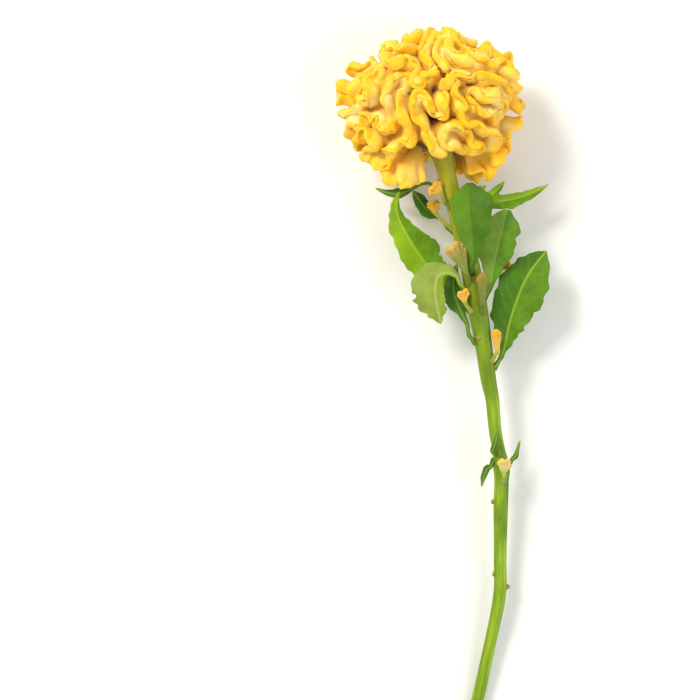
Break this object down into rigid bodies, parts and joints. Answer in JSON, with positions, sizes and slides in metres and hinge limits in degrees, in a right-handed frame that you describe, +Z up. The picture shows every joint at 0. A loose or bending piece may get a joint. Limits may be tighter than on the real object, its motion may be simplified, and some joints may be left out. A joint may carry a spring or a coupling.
{
  "type": "cockscomb celosia flower",
  "caption": "Cut cockscomb celosia lying down: a golden crest of ruffled folds on a slim green stem with oval leaves, slim bracts and small orange side combs.",
  "frame": {"origin": "middle of the bounding box in X and Y, at the level of the surface that the flower lies on", "axes": "+Y along the stem from the cut end to the head, +Z up from the surface, +X to the right seen from above with the head away from the viewer"},
  "size_m": [0.108, 0.3468, 0.0685],
  "materials": {
    "crest_velvet": "velvety petal tissue, golden yellow rims on paler cream sheets",
    "comb_orange": "velvety petal tissue, orange",
    "comb_cream": "velvety petal tissue, cream to pale yellow",
    "stem_skin": "satin green stem skin with fine ribs; stands for plant tissue",
    "leaf_blade": "satin green leaf with paler veins; stands for plant tissue",
    "leaf_underside": "matt pale green leaf underside; stands for plant tissue"
  },
  "bodies": {
    "root": {"bract_hanging_comb": "leaf_blade", "bract_neck_right": "leaf_blade", "bract_node_front": "leaf_blade", "bract_node_left": "leaf_blade", "bract_node_right": "leaf_blade", "bract_right_spike": "leaf_blade", "comb_front_low": "comb_orange", "comb_front_tall": "comb_cream", "comb_leaf_axil": "comb_orange", "comb_left_axil": "comb_orange", "comb_lower_node": "comb_cream", "comb_neck": "comb_orange", "comb_right_axil": "comb_orange", "comb_side_shoot": "comb_orange", "crest": "crest_velvet", "leaf_dark_small": "leaf_blade", "leaf_large_right": "leaf_blade", "leaf_long_left": "leaf_blade", "leaf_pale": "leaf_underside", "leaf_right_front": "leaf_blade", "leaf_side_shoot": "leaf_blade", "leaf_slim_right": "leaf_blade", "leaf_upright_front": "leaf_blade", "stem": "stem_skin"}
  },
  "joints": []
}
